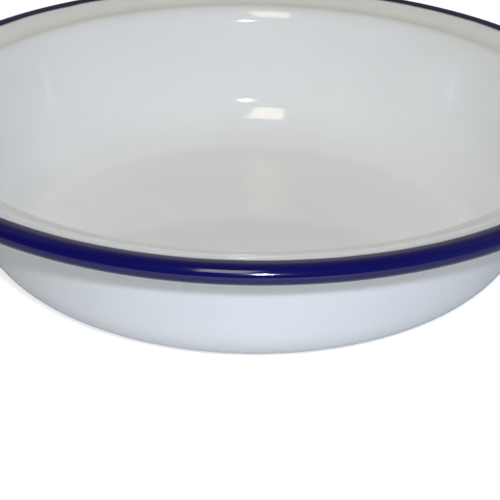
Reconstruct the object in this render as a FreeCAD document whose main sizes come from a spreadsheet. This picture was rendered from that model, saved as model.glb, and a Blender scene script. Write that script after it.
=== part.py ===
import FreeCAD, Part
import math
import os

import Sketcher

# Round pie dish in millimetres. It stands on z = 0 with its axis on Z.
#
# One round blank of sheet steel is pressed into a dish and enamelled all over: a flat floor,
# a rounded foot, a steep and slightly bowed wall, a rounded shoulder, and a narrow flange that
# rises a little to a rolled rim. The rim goes over its crown to where the dish is widest, curls
# under and is tucked back up. It stops short of the flange, so the roll is hollow and open below.

SIZES = (
    ("overall_diameter", 220.0, "across the rolled rim"),
    ("overall_height", 46.8, "from the table to the crown of the rim"),
    ("sheet_thickness", 1.0, "steel with its enamel on both faces"),
    ("foot_radius", 18.9, "inside, between floor and wall"),
    ("wall_radius", 280.0, "inside, the slight bow of the wall from foot to shoulder"),
    ("wall_lean", 13.4, "degrees from upright, at the top of the wall"),
    ("shoulder_radius", 7.9, "on top, between wall and flange"),
    ("flange_width", 11.0, "straight part of the flange, between shoulder and roll"),
    ("flange_rise", 17.0, "degrees from level, upward to the rim"),
    ("crown_radius", 2.95, "outside of the roll, over its top to its widest point"),
    ("curl_radius", 2.2, "outside of the roll, from there to its lowest point"),
    ("tuck_radius", 2.3, "outside of the roll, from there back up"),
    ("edge_slope", 275.0, "degrees down from level, at the sheet's free edge"),
)
NODE = "pie_dish"

# What the radii of the bends are bound to, on the upper face of the sheet and on the lower one.
UPPER_RADII = {
    "foot": ("foot_inside", "Sizes.foot_radius"),
    "wall": ("wall_inside", "Sizes.wall_radius"),
    "shoulder": ("shoulder_outside", "Sizes.shoulder_radius"),
    "crown": ("crown_outside", "Sizes.crown_radius"),
    "curl": ("curl_outside", "Sizes.curl_radius"),
    "tuck": ("tuck_outside", "Sizes.tuck_radius"),
}
LOWER_RADII = {
    "foot": ("foot_outside", "Sizes.foot_radius + Sizes.sheet_thickness"),
    "wall": ("wall_outside", "Sizes.wall_radius + Sizes.sheet_thickness"),
    "shoulder": ("shoulder_inside", "Sizes.shoulder_radius - Sizes.sheet_thickness"),
    "crown": ("crown_inside", "Sizes.crown_radius - Sizes.sheet_thickness"),
    "curl": ("curl_inside", "Sizes.curl_radius - Sizes.sheet_thickness"),
    "tuck": ("tuck_inside", "Sizes.tuck_radius - Sizes.sheet_thickness"),
}

# How a sketch numbers the points of a piece, counted from one, and its own two axes, downward.
START, END, CENTRE = range(1, 4)
HORIZONTAL_AXIS, VERTICAL_AXIS = range(-1, -3, -1)
ORIGIN = (HORIZONTAL_AXIS, START)


def make_size_sheet(doc):
    """Write the driving dimensions to a spreadsheet, one aliased cell each."""
    sheet = doc.addObject("Spreadsheet::Sheet", "Sizes")
    for row, (alias, value, meaning) in enumerate(SIZES, start=1):
        sheet.set(f"A{row}", alias)
        sheet.set(f"B{row}", str(value))
        sheet.set(f"C{row}", meaning)
        sheet.setAlias(f"B{row}", alias)
    doc.recompute()
    return sheet


def polar(distance, degrees):
    """Vector of that length in the sketch, turned that far from its horizontal axis."""
    angle = math.radians(degrees)
    return FreeCAD.Vector(distance * math.cos(angle), distance * math.sin(angle), 0)


def bend_centres(sheet):
    """Centres of the six bends, worked out from the rim inward and down to the floor.

    The crown touches the overall height and diameter. The flange slopes down from it at its own
    width, and the shoulder hangs below the flange's inner end. The wall's centre is a wall radius
    beyond the shoulder, on the inside. The foot rests on the floor and meets the wall smoothly,
    so it lies a wall radius less its own from the wall's centre. The curl takes over from the
    crown at the widest point of the roll, and the tuck from the curl at its lowest point.
    """
    crown = FreeCAD.Vector(sheet.overall_diameter / 2 - sheet.crown_radius,
                           sheet.overall_height - sheet.crown_radius, 0)
    shoulder = (crown + polar(sheet.crown_radius - sheet.shoulder_radius, 90 + sheet.flange_rise)
                - polar(sheet.flange_width, sheet.flange_rise))
    wall = shoulder + polar(sheet.shoulder_radius + sheet.wall_radius, 180 - sheet.wall_lean)
    foot_height = sheet.sheet_thickness + sheet.foot_radius
    foot_below_wall = wall.y - foot_height
    foot_beside_wall = math.sqrt((sheet.wall_radius - sheet.foot_radius) ** 2 - foot_below_wall ** 2)
    foot = FreeCAD.Vector(wall.x + foot_beside_wall, foot_height, 0)
    curl = crown + FreeCAD.Vector(sheet.crown_radius - sheet.curl_radius, 0, 0)
    tuck = curl + FreeCAD.Vector(0, sheet.tuck_radius - sheet.curl_radius, 0)
    return {"foot": foot, "wall": wall, "shoulder": shoulder, "crown": crown, "curl": curl, "tuck": tuck}


class SectionSketch:
    """Draws the section of the sheet, one face at a time, each face a chain of tangent pieces."""

    def __init__(self, body, plane):
        self.sketch = body.newObject("Sketcher::SketchObject", "SheetSection")
        self.sketch.AttachmentSupport = [(plane, "")]
        self.sketch.MapMode = "FlatFace"

    def constrain(self, kind, *where, name=None, size=None):
        """Add a constraint, and bind its value to the spreadsheet where a size is given."""
        index = self.sketch.addConstraint(Sketcher.Constraint(kind, *where))
        if name:
            self.sketch.renameConstraint(index, name)
            self.sketch.setExpression(f"Constraints.{name}", size)

    def line(self, start, end, construction=False):
        return self.sketch.addGeometry(Part.LineSegment(start, end), construction)

    def arc(self, centre, radius, from_degrees, to_degrees):
        circle = Part.Circle(centre, FreeCAD.Vector(0, 0, 1), radius)
        ends = math.radians(from_degrees), math.radians(to_degrees)
        return self.sketch.addGeometry(Part.ArcOfCircle(circle, *ends), False)

    def face(self, sheet, centres, radii, radius_sizes):
        """Draw one face of the sheet from the axis to the free edge.

        centres and radii place its bends, and radius_sizes gives the expression that each radius
        is bound to. A bend runs anticlockwise from one side, in degrees, to the other.
        """
        foot, wall = centres["foot"], centres["wall"]
        foot_side = math.degrees(math.atan2(foot.y - wall.y, foot.x - wall.x))
        sides = {
            "foot": (-90, foot_side),
            "wall": (foot_side, -sheet.wall_lean),
            "shoulder": (90 + sheet.flange_rise, 180 - sheet.wall_lean),
            "crown": (0, 90 + sheet.flange_rise),
            "curl": (-90, 0),
            "tuck": (90 - sheet.edge_slope, -90),
        }
        piece = {bend: self.arc(centres[bend], radii[bend], *sides[bend]) for bend in sides}
        floor_edge = foot + polar(radii["foot"], -90)
        piece["floor"] = self.line(FreeCAD.Vector(0, floor_edge.y, 0), floor_edge)
        flange_ends = [centres[bend] + polar(radii[bend], 90 + sheet.flange_rise)
                       for bend in ("shoulder", "crown")]
        piece["flange"] = self.line(*flange_ends)

        self.constrain("Horizontal", piece["floor"])
        self.constrain("PointOnObject", piece["floor"], START, VERTICAL_AXIS)
        self.constrain("Tangent", piece["floor"], END, piece["foot"], START)
        self.constrain("Tangent", piece["foot"], END, piece["wall"], START)
        self.constrain("Tangent", piece["wall"], END, piece["shoulder"], END)
        self.constrain("Tangent", piece["shoulder"], START, piece["flange"], START)
        self.constrain("Tangent", piece["flange"], END, piece["crown"], END)
        self.constrain("Tangent", piece["crown"], START, piece["curl"], END)
        self.constrain("Horizontal", piece["crown"], CENTRE, piece["crown"], START)
        self.constrain("Tangent", piece["curl"], START, piece["tuck"], END)
        self.constrain("Vertical", piece["curl"], CENTRE, piece["curl"], START)
        for bend, (name, size) in radius_sizes.items():
            self.constrain("Radius", piece[bend], radii[bend], name=name, size=size)
        return piece


def bend_radii(sheet, depth):
    """Radii of the bends on the face that lies that deep below the upper one."""
    return {
        "foot": sheet.foot_radius + depth,
        "wall": sheet.wall_radius + depth,
        "shoulder": sheet.shoulder_radius - depth,
        "crown": sheet.crown_radius - depth,
        "curl": sheet.curl_radius - depth,
        "tuck": sheet.tuck_radius - depth,
    }


def draw_section(body, plane, sheet):
    """Sketch the closed section of the sheet, bound to the spreadsheet and fully constrained."""
    drawing = SectionSketch(body, plane)
    thickness = sheet.sheet_thickness
    centres = bend_centres(sheet)
    upper = drawing.face(sheet, centres, bend_radii(sheet, 0), UPPER_RADII)
    lower = drawing.face(sheet, centres, bend_radii(sheet, thickness), LOWER_RADII)

    # The floor is closed on the axis, and the free edge is cut square across the sheet.
    axis = drawing.line(FreeCAD.Vector(0, 0, 0), FreeCAD.Vector(0, thickness, 0))
    drawing.constrain("Coincident", axis, START, lower["floor"], START)
    drawing.constrain("Coincident", axis, END, upper["floor"], START)
    edge_side = 90 - sheet.edge_slope
    edge_ends = [centres["tuck"] + polar(sheet.tuck_radius - depth, edge_side) for depth in (thickness, 0)]
    edge = drawing.line(*edge_ends)
    drawing.constrain("Coincident", edge, START, lower["tuck"], START)
    drawing.constrain("Coincident", edge, END, upper["tuck"], START)
    drawing.constrain("PointOnObject", upper["tuck"], CENTRE, edge)

    # Both faces turn about the same centres, so the sheet is equally thick all along. The wall,
    # the curl and the tuck follow from their neighbours.
    for bend in ("foot", "shoulder", "crown"):
        drawing.constrain("Coincident", upper[bend], CENTRE, lower[bend], CENTRE)

    # The dish stands on z = 0, and its rim touches the overall height and diameter.
    foot, crown = centres["foot"], centres["crown"]
    drawing.constrain("DistanceY", *ORIGIN, upper["foot"], CENTRE, foot.y,
                      name="foot_centre_height", size="Sizes.sheet_thickness + Sizes.foot_radius")
    drawing.constrain("DistanceY", *ORIGIN, upper["crown"], CENTRE, crown.y,
                      name="crown_centre_height", size="Sizes.overall_height - Sizes.crown_radius")
    drawing.constrain("DistanceX", *ORIGIN, upper["crown"], CENTRE, crown.x,
                      name="crown_centre_reach", size="Sizes.overall_diameter / 2 - Sizes.crown_radius")

    # The flange's width and rise, the wall's lean at its top, and where the free edge is.
    drawing.constrain("Distance", upper["flange"], sheet.flange_width,
                      name="flange_width", size="Sizes.flange_width")
    drawing.constrain("Angle", *ORIGIN, upper["flange"], START, math.radians(sheet.flange_rise),
                      name="flange_rise", size="Sizes.flange_rise * 1deg")
    spoke = drawing.line(centres["shoulder"], centres["wall"], construction=True)
    drawing.constrain("Coincident", spoke, START, upper["shoulder"], CENTRE)
    drawing.constrain("Coincident", spoke, END, upper["wall"], CENTRE)
    drawing.constrain("Angle", *ORIGIN, spoke, START, math.radians(180 - sheet.wall_lean),
                      name="wall_lean", size="(180 - Sizes.wall_lean) * 1deg")
    drawing.constrain("Angle", *ORIGIN, edge, START, math.radians(edge_side),
                      name="edge_side", size="(90 - Sizes.edge_slope) * 1deg")
    return drawing.sketch


def make_dish(doc, sheet):
    """The whole dish: the section of the sheet, turned once round the axis."""
    body = doc.addObject("PartDesign::Body", NODE)
    body.Label = NODE
    plane = next(f for f in body.Origin.OriginFeatures if f.Role == "XZ_Plane")
    section = draw_section(body, plane, sheet)
    doc.recompute()
    turned = body.newObject("PartDesign::Revolution", "TurnedSheet")
    turned.Profile = section
    turned.ReferenceAxis = (section, ["V_Axis"])
    turned.Angle = 360
    body.Tip = turned
    return body


def check_document(doc, body):
    """Stop if an object of the document failed, or the dish is not one sound solid."""
    for item in doc.Objects:
        if {"Invalid", "Error"} & set(item.State):
            raise RuntimeError(f"{item.Name} failed: {item.State}")
    shape = body.Shape
    if shape.isNull() or not shape.isValid() or len(shape.Solids) != 1:
        raise RuntimeError(f"{body.Label} is not one valid solid")


def main():
    doc = FreeCAD.newDocument("PieDish")
    sheet = make_size_sheet(doc)
    dish = make_dish(doc, sheet)
    doc.recompute()
    check_document(doc, dish)
    os.makedirs("parts", exist_ok=True)
    dish.Shape.exportStep(f"parts/{dish.Label}.step")
    box = dish.Shape.optimalBoundingBox()
    print(f"{dish.Label}: {box.XLength:.2f} x {box.YLength:.2f} x {box.ZLength:.2f} mm, "
          f"{dish.Shape.Volume / 1000:.2f} cm3")


main()
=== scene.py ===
import math

import bpy
import numpy as np
from mathutils import Matrix, Vector


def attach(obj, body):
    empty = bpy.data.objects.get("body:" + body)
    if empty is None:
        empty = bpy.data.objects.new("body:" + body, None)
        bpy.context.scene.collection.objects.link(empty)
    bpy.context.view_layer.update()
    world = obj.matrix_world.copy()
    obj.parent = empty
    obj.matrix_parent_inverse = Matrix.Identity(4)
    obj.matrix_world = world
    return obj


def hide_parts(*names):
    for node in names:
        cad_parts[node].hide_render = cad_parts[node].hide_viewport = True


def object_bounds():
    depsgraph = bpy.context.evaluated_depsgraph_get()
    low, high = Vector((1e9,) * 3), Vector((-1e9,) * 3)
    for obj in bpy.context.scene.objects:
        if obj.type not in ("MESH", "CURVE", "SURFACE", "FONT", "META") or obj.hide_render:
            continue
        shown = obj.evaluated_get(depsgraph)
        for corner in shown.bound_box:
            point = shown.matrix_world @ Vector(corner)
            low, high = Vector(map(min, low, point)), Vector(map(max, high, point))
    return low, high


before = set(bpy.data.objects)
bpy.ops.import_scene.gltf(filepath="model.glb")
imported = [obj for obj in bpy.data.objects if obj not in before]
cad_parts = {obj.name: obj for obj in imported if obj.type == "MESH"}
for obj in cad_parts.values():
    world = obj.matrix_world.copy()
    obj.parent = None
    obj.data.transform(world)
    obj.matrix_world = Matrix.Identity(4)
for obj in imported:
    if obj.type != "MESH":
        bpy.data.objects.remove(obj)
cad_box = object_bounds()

# Round pie dish of pressed and enamelled sheet steel, white with a blue rolled rim.
# Lengths are in metres and angles in degrees.

# The sheet. Its reach comes from the frame and the rest are the sizes of the part's source, which
# has a straight flange and a shoulder of one radius. The flange's slight hollow and the tighter
# break at the shoulder's top are only here.
RIM_RADIUS, _, RIM_HEIGHT = cad_box[1]
SHEET = 0.0010
FOOT_RADIUS = 0.0189
WALL_RADIUS = 0.280
WALL_LEAN = 13.4
SHOULDER_RADIUS = 0.0095
SHOULDER_RISE = 46.0
BREAK_RADIUS = 0.0045
FLANGE_LENGTH = 0.011680
CROWN_RADIUS = 0.00295
CURL_RADIUS = 0.0022
TUCK_RADIUS = 0.0023
EDGE_SLOPE = 275.0

# Rise of the flange, as (share of its length, degrees).
FLANGE_RISE = ((0, 8), (0.12, 14.5), (0.28, 19), (0.45, 19.5), (0.62, 17), (0.80, 12), (1, 8))

# How the pressing strays from true outside the flat floor, as (waves in a turn, phase, height).
FLAT_RADIUS = 0.066
PRESS_WAVES = ((2, 0.6, 0.00004), (3, 2.1, 0.00004), (5, 4.0, 0.00002))

# Fineness of the mesh: steps round, steps along the floor and the flange, and points of each arc.
STEPS_ROUND = 384
FIRST_RING = 0.002
FLOOR_STEPS = 25
FLANGE_STEPS = 60
ARC_POINTS = {"foot": 26, "wall": 16, "shoulder": 14, "break": 16,
              "crown": 14, "curl": 12, "tuck": 12, "edge": 7}

# White enamel with painted shade, from the shoulder outward as (share of the band, colour): painted
# shade greys it in the fold beside the shoulder and painted light makes the flange palest. The wall
# and the floor have its first colour.
PAINTED_SHADE_BAND = (0.090, 0.108)
WHITE_AND_PAINTED_SHADE_STOPS = ((0.0, (0.88, 0.88, 0.885)), (0.20, (0.86, 0.86, 0.86)), (0.29, (0.82, 0.815, 0.79)),
               (0.38, (0.86, 0.855, 0.83)), (0.50, (0.89, 0.89, 0.88)), (0.72, (0.89, 0.90, 0.91)))

# Blue enamel, from its edge outward as (share of the band, colour). Its edge blurs and wanders.
BLUE_FROM = 0.1042
BLUE_BAND = 0.003
BLUE_STOPS = ((0.0, (0.050, 0.038, 0.075)), (0.12, (0.020, 0.014, 0.040)), (0.35, (0.010, 0.007, 0.045)),
              (1.0, (0.006, 0.005, 0.085)))
EDGE_BLUR = 0.0005
EDGE_WANDER = 0.0007

# Finish of the enamel: how its shade and its roughness vary, and how far its fine waves stand up.
# The scales are those of the noises for its clouds, its paint edge and its skin. A noise keeps
# mostly to its middle, which is spread over the whole of what it drives.
SHADE = (0.985, 1.015)
ROUGHNESS = (0.065, 0.085)
BLUE_ROUGHER = 0.03
ENAMEL_IOR = 1.5
SKIN_STRENGTH = 0.008
SKIN_DEPTH = 0.0002
CLOUD_SCALE, WANDER_SCALE, SKIN_SCALE = 38.0, 90.0, 260.0
NOISE_MIDDLE = (0.3, 0.7)

# The photograph's camera, found from the rim's ellipses, and the flash beside its lens.
PHOTO_SIDE = 500
SENSOR_WIDTH = 36.0
FOCAL_PIXELS = 1562.0
CAMERA_DISTANCE = 0.470
CAMERA_ELEVATION = 21.79
CAMERA_ROLL = 0.833
AIM_RIGHT, AIM_UP = -0.00002, -0.04617
FLASH_RIGHT, FLASH_UP = 0.0253, 0.0372
FLASH_RADIUS = 0.012

# Strengths of the lights. The room's stops are (sine of the elevation behind the dish, colour).
FLASH_ENERGY = 4.15
FLASH_COLOUR = (0.743, 0.841, 1.0)
LAMP_DISTANCE = 2.5
WINDOW_RADIANCE = (6.2, 5.4, 4.0)
CEILING_RADIANCE = (1.24, 1.33, 1.24)
ROOM_STOPS = ((0.22, (0.34, 0.34, 0.37)), (0.30, (0.27, 0.23, 0.27)), (0.50, (0.26, 0.22, 0.26)),
              (0.62, (0.21, 0.18, 0.13)), (0.85, (0.17, 0.14, 0.09)), (0.90, (0.08, 0.05, 0.01)))
ROOM_RIGHT = (0.18, 0.24, 0.30)
ROOM_RIGHT_POWER = 3.0
BEHIND_BLEND = 0.1

# The floor, and the glow that lifts it to white for the camera alone.
FLOOR_HALF = 4.0
FLOOR_COLOUR = (0.8, 0.8, 0.8, 1)
FLOOR_GLOW = 0.68
WHITE = (1, 1, 1, 1)


def arc(centre, radius, from_degrees, to_degrees, count):
    """Points on a circle: the centre plus the radius times (cos, sin) of evenly spaced angles."""
    angles = np.radians(np.linspace(from_degrees, to_degrees, count))
    return np.asarray(centre) + radius * np.stack([np.cos(angles), np.sin(angles)], axis=1)


def polar(distance, degrees):
    """The vector of that length, turned that far from level."""
    return distance * np.array([math.cos(math.radians(degrees)), math.sin(math.radians(degrees))])


def sheet_section():
    """Closed outline of the pressed sheet as (distance from the axis, height), upper face first.

    Each face is a chain of arcs that touch: floor, foot, wall, shoulder, the tighter break at its
    top, flange, then the roll's crown, curl and tuck. The lower face has the same centres, one
    sheet deeper. The flange has no centre: its points are the running sum of short steps, each at
    the rise that FLANGE_RISE gives for its share of the length, and its lower face lies one sheet
    below, square to the rise. Half a circle rounds the free edge.
    """
    crown = np.array([RIM_RADIUS - CROWN_RADIUS, RIM_HEIGHT - CROWN_RADIUS])
    curl = crown + (CROWN_RADIUS - CURL_RADIUS, 0)
    tuck = curl + (0, TUCK_RADIUS - CURL_RADIUS)

    rise = np.interp(np.linspace(0, 1, FLANGE_STEPS + 1), *zip(*FLANGE_RISE))
    step_rise = np.radians((rise[1:] + rise[:-1]) / 2)
    steps = np.stack([np.cos(step_rise), np.sin(step_rise)], axis=1) * FLANGE_LENGTH / FLANGE_STEPS
    flange = np.concatenate([[(0, 0)], np.cumsum(steps, axis=0)])
    flange += crown + polar(CROWN_RADIUS, 90 + rise[-1]) - flange[-1]
    below = np.stack([np.sin(np.radians(rise)), -np.cos(np.radians(rise))], axis=1)

    brink = flange[0] - polar(BREAK_RADIUS, 90 + rise[0])
    shoulder = brink - polar(SHOULDER_RADIUS - BREAK_RADIUS, 90 + SHOULDER_RISE)
    wall = shoulder + polar(SHOULDER_RADIUS + WALL_RADIUS, 180 - WALL_LEAN)
    foot_height = SHEET + FOOT_RADIUS
    reach = math.sqrt((WALL_RADIUS - FOOT_RADIUS) ** 2 - (wall[1] - foot_height) ** 2)
    foot = np.array([wall[0] + reach, foot_height])
    foot_side = math.degrees(math.atan2(*(foot - wall)[::-1]))

    # Name, centre, radius, whether the lower face's radius is wider or tighter, and the two angles.
    bends = (
        ("foot", foot, FOOT_RADIUS, 1, -90, foot_side),
        ("wall", wall, WALL_RADIUS, 1, foot_side, -WALL_LEAN),
        ("shoulder", shoulder, SHOULDER_RADIUS, -1, 180 - WALL_LEAN, 90 + SHOULDER_RISE),
        ("break", brink, BREAK_RADIUS, -1, 90 + SHOULDER_RISE, 90 + rise[0]),
        ("crown", crown, CROWN_RADIUS, -1, 90 + rise[-1], 0),
        ("curl", curl, CURL_RADIUS, -1, 0, -90),
        ("tuck", tuck, TUCK_RADIUS, -1, -90, 90 - EDGE_SLOPE),
    )

    def face(depth):
        level = np.full(FLOOR_STEPS, SHEET - depth)
        parts = [np.stack([np.linspace(FIRST_RING, foot[0], FLOOR_STEPS + 1)[:-1], level], axis=1)]
        for name, centre, radius, grows, start, end in bends:
            if name == "crown":
                parts.append((flange + depth * below)[1:])
            points = arc(centre, radius + grows * depth, start, end, ARC_POINTS[name])
            parts.append(points if name == "foot" else points[1:])
        return np.concatenate(parts)

    upper, lower = face(0.0), face(SHEET)
    edge_from = 90 - EDGE_SLOPE
    edge = arc((upper[-1] + lower[-1]) / 2, SHEET / 2, edge_from, edge_from - 180, ARC_POINTS["edge"])
    return np.concatenate([upper, edge[1:-1], lower[::-1]])


def press_ripple(radius, turn):
    """Height by which the pressing strays from true: slow cosines of the turn that fade to the floor."""
    fade = np.clip((radius - FLAT_RADIUS) / (RIM_RADIUS - FLAT_RADIUS), 0, 1) ** 2
    return fade * sum(height * np.cos(waves * turn + phase) for waves, phase, height in PRESS_WAVES)


def turned_mesh(name, section, steps):
    """Surface of revolution: each outline point (r, z) goes to (r cos t, r sin t, z) for every turn t.

    The outline starts and ends beside the axis, and one point on the axis closes each floor.
    """
    turns = np.linspace(0, 2 * math.pi, steps, endpoint=False)
    radius, height = section[:, 0][:, None], section[:, 1][:, None]
    x, y = radius * np.cos(turns), radius * np.sin(turns)
    rings = np.stack([x, y, height + press_ripple(radius, turns)], axis=-1).reshape(-1, 3)
    poles = np.array([[0, 0, section[0, 1]], [0, 0, section[-1, 1]]])
    points = np.concatenate([rings, poles])

    row = np.arange(len(section) - 1)[:, None] * steps
    here = np.arange(steps)[None, :]
    there = (here + 1) % steps
    corners = [row + here, row + steps + here, row + steps + there, row + there]
    quads = np.stack(corners, axis=-1).reshape(-1, 4)
    here, there = here.ravel(), there.ravel()
    last_row = (len(section) - 1) * steps
    top_fan = np.stack([np.full(steps, len(rings)), here, there], axis=-1)
    bottom_fan = np.stack([np.full(steps, len(rings) + 1), last_row + there, last_row + here], axis=-1)

    mesh = bpy.data.meshes.new(name)
    mesh.from_pydata(points.tolist(), [], quads.tolist() + top_fan.tolist() + bottom_fan.tolist())
    mesh.validate()
    mesh.polygons.foreach_set("use_smooth", np.ones(len(mesh.polygons), bool))
    mesh.update()
    return mesh


class Nodes:
    """A short way to write the node tree of a material or a world, which it empties first."""

    def __init__(self, owner):
        owner.use_nodes = True
        self.tree = owner.node_tree
        self.tree.nodes.clear()

    def put(self, socket, value):
        """Link the socket where the value is another node's output, or else set it."""
        if isinstance(value, bpy.types.NodeSocket):
            self.tree.links.new(value, socket)
        else:
            socket.default_value = value

    def add(self, kind, settings=None, **values):
        """New node with its settings, and its inputs by name, or by number as i0, i1 and so on."""
        node = self.tree.nodes.new(kind)
        for key, value in (settings or {}).items():
            setattr(node, key, value)
        for key, value in values.items():
            self.put(node.inputs[int(key[1:]) if key[1:].isdigit() else key.replace("_", " ")], value)
        return node

    def math(self, operation, *values):
        node = self.add("ShaderNodeMath", {"operation": operation})
        for socket, value in zip(node.inputs, values):
            self.put(socket, value)
        return node.outputs[0]

    def scaled(self, colour, factor):
        """The colour times the factor."""
        return self.add("ShaderNodeVectorMath", {"operation": "SCALE"}, i0=colour, Scale=factor).outputs[0]

    def spread(self, value, start, end, low=0.0, high=1.0):
        """The value taken in a straight line from start and end to low and high, and held past them."""
        return self.add("ShaderNodeMapRange", {"clamp": True}, Value=value, From_Min=start, From_Max=end,
                        To_Min=low, To_Max=high).outputs[0]

    def noise(self, place, scale, detail, roughness=0.5):
        return self.add("ShaderNodeTexNoise", Vector=place, Scale=scale, Detail=detail,
                        Roughness=roughness).outputs[0]

    def ramp(self, value, stops):
        """Colour of the value between the stops, each a position and a colour."""
        node = self.add("ShaderNodeValToRGB", Fac=value)
        elements = node.color_ramp.elements
        while len(elements) < len(stops):
            elements.new(0.5)
        for element, (position, colour) in zip(elements, stops):
            element.position, element.color = position, (*colour, 1)
        return node.outputs[0]


def enamel():
    """White enamel with a blue rolled rim, divided by the distance from the axis.

    The white carries painted shade, a little greyer in the fold beside the shoulder, and painted
    light that makes it palest on the flange. The blue starts with a thin dark edge and wanders a
    little, as dipped enamel does.
    """
    material = bpy.data.materials.new("enamel")
    n = Nodes(material)
    place = n.add("ShaderNodeTexCoord").outputs["Object"]
    x, y, _ = n.add("ShaderNodeSeparateXYZ", Vector=place).outputs
    radius = n.math("SQRT", n.math("ADD", n.math("POWER", x, 2.0), n.math("POWER", y, 2.0)))

    clouds = n.noise(place, CLOUD_SCALE, detail=4.0, roughness=0.6)
    # The white with painted shade in the fold beside the shoulder and painted light on the flange.
    white = n.ramp(n.spread(radius, *PAINTED_SHADE_BAND), WHITE_AND_PAINTED_SHADE_STOPS)
    white = n.scaled(white, n.spread(clouds, *NOISE_MIDDLE, *SHADE))

    aside = n.math("SUBTRACT", n.noise(place, WANDER_SCALE, detail=3.0), 0.5)
    strayed = n.math("ADD", radius, n.math("MULTIPLY", aside, EDGE_WANDER))
    blue = n.ramp(n.spread(strayed, BLUE_FROM, BLUE_FROM + BLUE_BAND), BLUE_STOPS)
    covered = n.spread(strayed, BLUE_FROM - EDGE_BLUR, BLUE_FROM + EDGE_BLUR)
    colour = n.add("ShaderNodeMix", {"data_type": "RGBA"}, i0=covered, i6=white, i7=blue).outputs[2]

    skin = n.add("ShaderNodeBump", Strength=SKIN_STRENGTH, Distance=SKIN_DEPTH,
                 Height=n.noise(place, SKIN_SCALE, detail=2.0))
    rougher = n.math("MULTIPLY", covered, BLUE_ROUGHER)
    rough = n.math("ADD", n.spread(clouds, *NOISE_MIDDLE, *ROUGHNESS), rougher)
    shader = n.add("ShaderNodeBsdfPrincipled", Base_Color=colour, Roughness=rough, IOR=ENAMEL_IOR,
                   Normal=skin.outputs[0])
    n.add("ShaderNodeOutputMaterial", Surface=shader.outputs[0])
    return material


def in_scene(name, data):
    """New object of that data, linked into the scene."""
    thing = bpy.data.objects.new(name, data)
    bpy.context.scene.collection.objects.link(thing)
    return thing


def dish():
    """The dish itself, on the body that the frame gives it."""
    piece = in_scene("enamelled_dish", turned_mesh("enamelled_dish", sheet_section(), STEPS_ROUND))
    piece.data.materials.append(enamel())
    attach(piece, "root")
    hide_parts("pie_dish")


def camera_axes():
    """Place of the camera and its right, up and back directions."""
    elevation, roll = math.radians(CAMERA_ELEVATION), math.radians(CAMERA_ROLL)
    rim = Vector((0, 0, RIM_HEIGHT))
    place = rim + CAMERA_DISTANCE * Vector((0, -math.cos(elevation), math.sin(elevation)))
    aim = rim + Vector((AIM_RIGHT, AIM_UP * math.sin(elevation), AIM_UP * math.cos(elevation)))
    back = (place - aim).normalized()
    right = Vector((0, 0, 1)).cross(back).normalized()
    up = back.cross(right)
    turned_right = math.cos(roll) * right + math.sin(roll) * up
    turned_up = math.cos(roll) * up - math.sin(roll) * right
    return place, turned_right, turned_up, back


def facing(place, right, up, back):
    """Matrix that puts an object there with those axes."""
    return Matrix.Translation(place) @ Matrix((right, up, back)).transposed().to_4x4()


def photo_camera():
    """Camera at the photograph's place and angle."""
    data = bpy.data.cameras.new("photo_camera")
    data.sensor_width = SENSOR_WIDTH
    data.lens = FOCAL_PIXELS / PHOTO_SIDE * SENSOR_WIDTH
    data.clip_start, data.clip_end = 0.01, 50.0
    camera = in_scene("photo_camera", data)
    camera.matrix_world = facing(*camera_axes())
    bpy.context.scene.camera = camera


def soft_box(name, low, high, turn, half_width, radiance, glossy=True):
    """Rectangular lamp far out, between two elevations and at a turn from the front, in degrees."""
    middle, turn = math.radians((low + high) / 2), math.radians(turn)
    out = Vector((math.sin(turn) * math.cos(middle), -math.cos(turn) * math.cos(middle), math.sin(middle)))
    right = Vector((0, 0, 1)).cross(out).normalized()
    data = bpy.data.lights.new(name, "AREA")
    data.shape = "RECTANGLE"
    data.size = 2 * LAMP_DISTANCE * math.tan(math.radians(half_width))
    data.size_y = 2 * LAMP_DISTANCE * math.tan(math.radians((high - low) / 2))
    brightest = max(radiance)
    data.energy = brightest * math.pi * data.size * data.size_y
    data.color = [part / brightest for part in radiance]
    lamp = in_scene(name, data)
    lamp.matrix_world = facing(out * LAMP_DISTANCE, right, out.cross(right), out)
    lamp.visible_glossy = glossy


def lamps():
    """The flash beside the lens, a window high behind the camera, and the soft light of a ceiling."""
    place, right, up, _ = camera_axes()
    data = bpy.data.lights.new("flash", "POINT")
    data.energy = FLASH_ENERGY
    data.color = FLASH_COLOUR
    data.shadow_soft_size = FLASH_RADIUS
    in_scene("flash", data).location = place + FLASH_RIGHT * right + FLASH_UP * up
    soft_box("window", low=41.5, high=67.0, turn=-9.0, half_width=5.8, radiance=WINDOW_RADIANCE)
    soft_box("ceiling", low=30.0, high=78.0, turn=-5.0, half_width=20.0, radiance=CEILING_RADIANCE,
             glossy=False)


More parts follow.
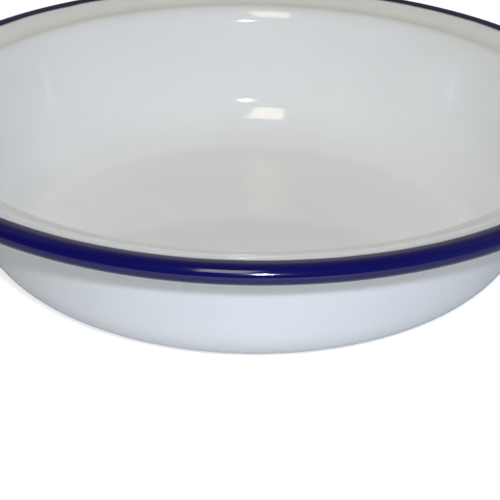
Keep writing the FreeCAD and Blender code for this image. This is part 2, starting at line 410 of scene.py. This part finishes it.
def floor_paper():
    """Pale floor that keeps the shadow, and glows up to white where the camera sees it."""
    mesh = bpy.data.meshes.new("floor")
    corners = [(x * FLOOR_HALF, y * FLOOR_HALF, 0) for x, y in ((-1, -1), (1, -1), (1, 1), (-1, 1))]
    mesh.from_pydata(corners, [], [(0, 1, 2, 3)])
    in_scene("floor", mesh)
    material = bpy.data.materials.new("floor_paper")
    n = Nodes(material)
    seen = n.add("ShaderNodeLightPath").outputs["Is Camera Ray"]
    paper = n.add("ShaderNodeBsdfDiffuse", Color=FLOOR_COLOUR)
    glow = n.add("ShaderNodeEmission", Color=WHITE, Strength=n.math("MULTIPLY", seen, FLOOR_GLOW))
    both = n.add("ShaderNodeAddShader", i0=paper.outputs[0], i1=glow.outputs[0])
    n.add("ShaderNodeOutputMaterial", Surface=both.outputs[0])
    mesh.materials.append(material)


def room():
    """Light of the room behind the dish by height, and from the right, and plain white for the camera."""
    world = bpy.data.worlds.new("room")
    bpy.context.scene.world = world
    n = Nodes(world)
    seen = n.add("ShaderNodeLightPath").outputs["Is Camera Ray"]
    way = n.add("ShaderNodeTexCoord").outputs["Generated"]
    east, north, height = n.add("ShaderNodeSeparateXYZ", Vector=way).outputs
    behind = n.scaled(n.ramp(height, ROOM_STOPS), n.spread(north, -BEHIND_BLEND, BEHIND_BLEND))
    lobe = n.math("POWER", n.math("MAXIMUM", east, 0.0), ROOM_RIGHT_POWER)
    right = n.scaled(ROOM_RIGHT, n.math("MULTIPLY", lobe, n.math("GREATER_THAN", height, 0.0)))
    light = n.add("ShaderNodeVectorMath", {"operation": "ADD"}, i0=behind, i1=right).outputs[0]
    lit = n.add("ShaderNodeBackground", Color=light, Strength=1.0)
    white = n.add("ShaderNodeBackground", Color=WHITE, Strength=1.0)
    both = n.add("ShaderNodeMixShader", Fac=seen, i1=lit.outputs[0], i2=white.outputs[0])
    n.add("ShaderNodeOutputWorld", Surface=both.outputs[0])


dish()
photo_camera()
lamps()
floor_paper()
room()
bpy.context.scene.view_settings.view_transform = "Standard"
